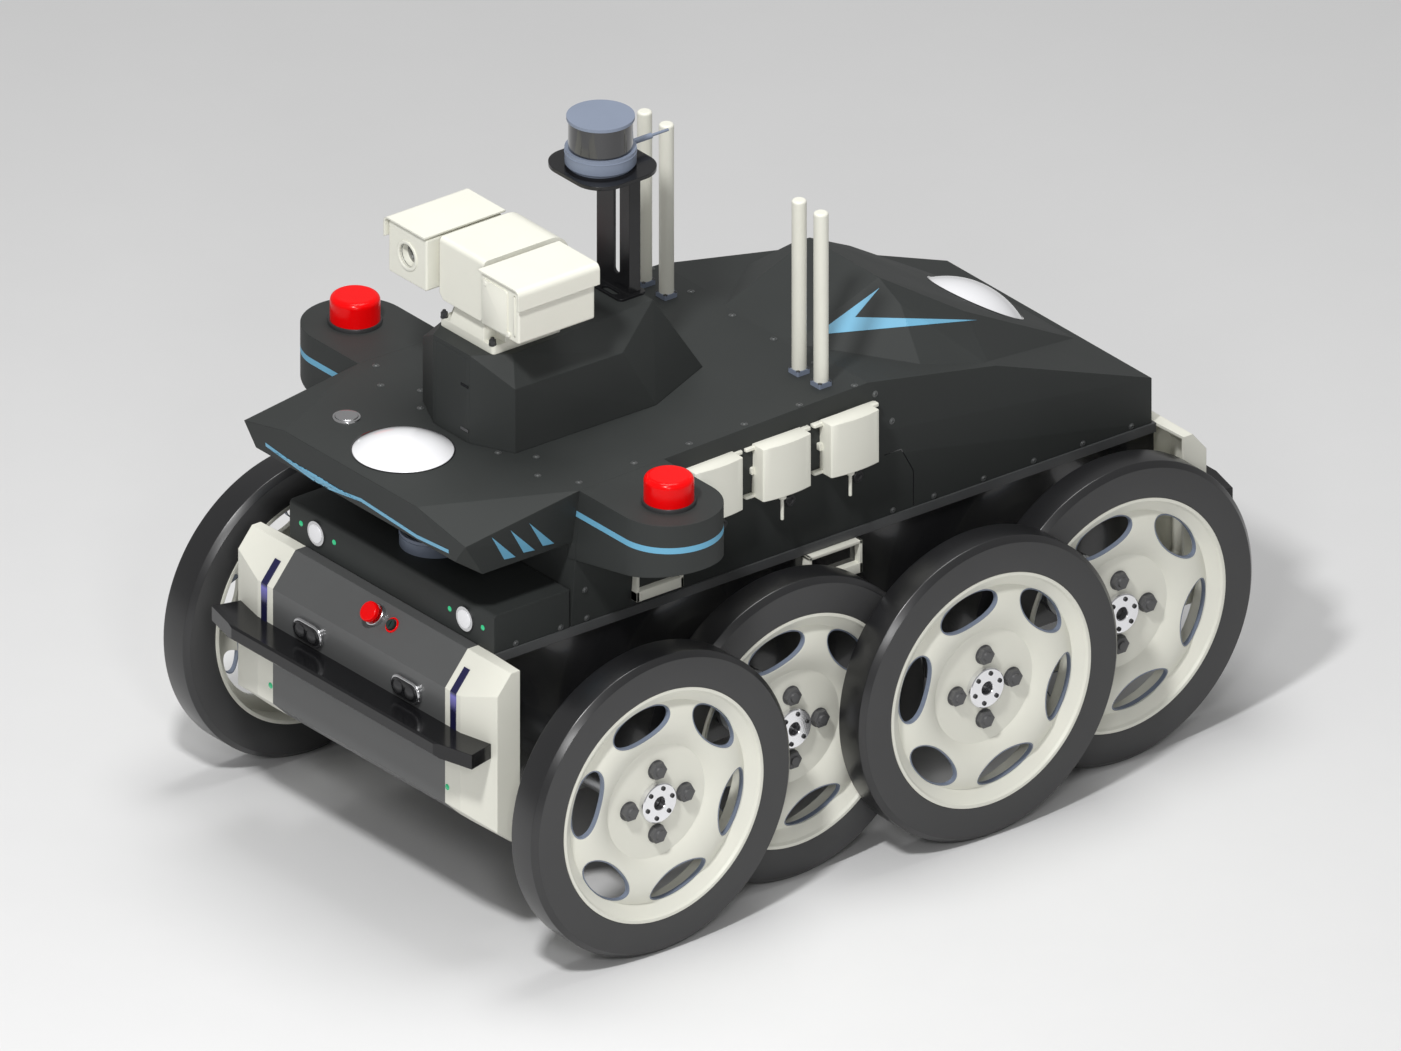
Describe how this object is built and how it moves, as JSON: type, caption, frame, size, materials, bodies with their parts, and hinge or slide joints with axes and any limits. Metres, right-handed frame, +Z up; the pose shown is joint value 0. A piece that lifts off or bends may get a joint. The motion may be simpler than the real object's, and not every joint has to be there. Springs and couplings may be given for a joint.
{
  "type": "wheeled patrol robot chassis",
  "caption": "Wheeled patrol robot chassis: interleaved wheels, faceted shell, pan-tilt camera, scanner mast, beacons and bumper shelves.",
  "frame": {"origin": "on the ground under the middle of the wheelbase, which is the bottom centre of the bounding box", "axes": "+Z up, +Y to the rear along the length, +X to the robot's left"},
  "size_m": [0.924, 1.4788, 1.147],
  "materials": {
    "tyre": "satin rubber, dark grey",
    "rim": "cream powder coat",
    "hub": "polished",
    "hull": "gloss black",
    "rail": "satin grey",
    "housing": "turned",
    "bearing": "ground",
    "motor": "satin black",
    "battery": "blue wrap",
    "controller": "anodised",
    "cover": "satin mid grey",
    "guard": "cream",
    "led": "dark blue light strip",
    "bumper": "gloss black",
    "contact": "steel bezel with black sockets",
    "sonar": "silver ring",
    "steel": "satin",
    "red_cap": "gloss red",
    "shell": "dark grey with a green-grey cast",
    "dome": "white",
    "beacon": "clear red",
    "camera": "off-white powder coat",
    "lens": "lens barrel and window",
    "mast": "satin black",
    "scanner": "blue-grey anodised",
    "scanner_glass": "dark window",
    "antenna": "white",
    "foot": "blue-grey",
    "jbox": "cream"
  },
  "bodies": {
    "chassis": {"lower_hull": "hull", "side_rails": "rail", "axle_housings": "housing", "wheel_bearings": "bearing", "gear_motors": "motor", "battery_packs": "battery", "controller_box": "controller", "end_covers": "cover", "corner_guards": "guard", "led_strips": "led", "bumpers": "bumper", "docking_contacts": "contact", "sensor_box": "shell", "ultrasonic_sensors": "sonar", "estop_base": "steel", "top_shell": "shell", "turret_shell": "shell", "signal_domes": "dome", "beacon_pods": "shell", "beacons": "beacon", "camera_base": "camera", "mast": "mast", "scanner_base": "scanner", "scanner_window": "scanner_glass", "antenna_feet": "foot", "antennas": "antenna", "junction_boxes": "jbox"},
    "pan_unit": {"pan_body": "camera"},
    "camera_unit": {"camera_heads": "camera", "camera_lenses": "lens", "sun_shields": "camera"},
    "scanner_unit": {"scanner_rotor": "steel"},
    "nose_scanner_unit": {"nose_scanner_rotor": "steel"},
    "estop_unit": {"estop_button": "red_cap"},
    "power_unit": {"power_button": "steel"},
    "key_unit": {"key_switch": "steel"},
    "wheel_left_1": {"tyre_left_1": "tyre", "rim_left_1": "rim", "hub_left_1": "hub"},
    "wheel_left_2": {"tyre_left_2": "tyre", "rim_left_2": "rim", "hub_left_2": "hub"},
    "wheel_left_3": {"tyre_left_3": "tyre", "rim_left_3": "rim", "hub_left_3": "hub"},
    "wheel_left_4": {"tyre_left_4": "tyre", "rim_left_4": "rim", "hub_left_4": "hub"},
    "wheel_right_1": {"tyre_right_1": "tyre", "rim_right_1": "rim", "hub_right_1": "hub"},
    "wheel_right_2": {"tyre_right_2": "tyre", "rim_right_2": "rim", "hub_right_2": "hub"},
    "wheel_right_3": {"tyre_right_3": "tyre", "rim_right_3": "rim", "hub_right_3": "hub"},
    "wheel_right_4": {"tyre_right_4": "tyre", "rim_right_4": "rim", "hub_right_4": "hub"}
  },
  "joints": [
    {"name": "wheel_left_1_spin", "type": "hinge", "parent": "chassis", "child": "wheel_left_1", "pos_m": [0, -0.46545, 0.2455], "axis": [1, 0, 0], "continuous": true},
    {"name": "wheel_left_2_spin", "type": "hinge", "parent": "chassis", "child": "wheel_left_2", "pos_m": [0, -0.15515, 0.2455], "axis": [1, 0, 0], "continuous": true},
    {"name": "wheel_left_3_spin", "type": "hinge", "parent": "chassis", "child": "wheel_left_3", "pos_m": [0, 0.15515, 0.2455], "axis": [1, 0, 0], "continuous": true},
    {"name": "wheel_left_4_spin", "type": "hinge", "parent": "chassis", "child": "wheel_left_4", "pos_m": [0, 0.46545, 0.2455], "axis": [1, 0, 0], "continuous": true},
    {"name": "wheel_right_1_spin", "type": "hinge", "parent": "chassis", "child": "wheel_right_1", "pos_m": [0, -0.46545, 0.2455], "axis": [1, 0, 0], "continuous": true},
    {"name": "wheel_right_2_spin", "type": "hinge", "parent": "chassis", "child": "wheel_right_2", "pos_m": [0, -0.15515, 0.2455], "axis": [1, 0, 0], "continuous": true},
    {"name": "wheel_right_3_spin", "type": "hinge", "parent": "chassis", "child": "wheel_right_3", "pos_m": [0, 0.15515, 0.2455], "axis": [1, 0, 0], "continuous": true},
    {"name": "wheel_right_4_spin", "type": "hinge", "parent": "chassis", "child": "wheel_right_4", "pos_m": [0, 0.46545, 0.2455], "axis": [1, 0, 0], "continuous": true},
    {"name": "camera_pan", "type": "hinge", "parent": "chassis", "child": "pan_unit", "pos_m": [0, -0.42, 0.9], "axis": [0, 0, 1], "continuous": true},
    {"name": "camera_tilt", "type": "hinge", "parent": "pan_unit", "child": "camera_unit", "pos_m": [0, -0.437, 0.954], "axis": [1, 0, 0], "range_deg": [-40, 90]},
    {"name": "scanner_spin", "type": "hinge", "parent": "chassis", "child": "scanner_unit", "pos_m": [0, -0.2306, 1.11], "axis": [0, 0, 1], "continuous": true},
    {"name": "nose_scanner_spin", "type": "hinge", "parent": "chassis", "child": "nose_scanner_unit", "pos_m": [0, -0.544, 0.569], "axis": [0, 0, 1], "continuous": true},
    {"name": "estop_push", "type": "slide", "parent": "chassis", "child": "estop_unit", "axis": [0, 0.7721, -0.6355], "range_m": [0, 0.004], "stiffness_N_per_m": 800, "springref_m": -0.002},
    {"name": "power_push", "type": "slide", "parent": "chassis", "child": "power_unit", "axis": [0, 0, -1], "range_m": [0, 0.003], "stiffness_N_per_m": 500, "springref_m": -0.002},
    {"name": "key_turn", "type": "hinge", "parent": "chassis", "child": "key_unit", "pos_m": [0.047, -0.66186, 0.44684], "axis": [0, -0.7721, 0.6355], "range_deg": [0, 90]}
  ]
}
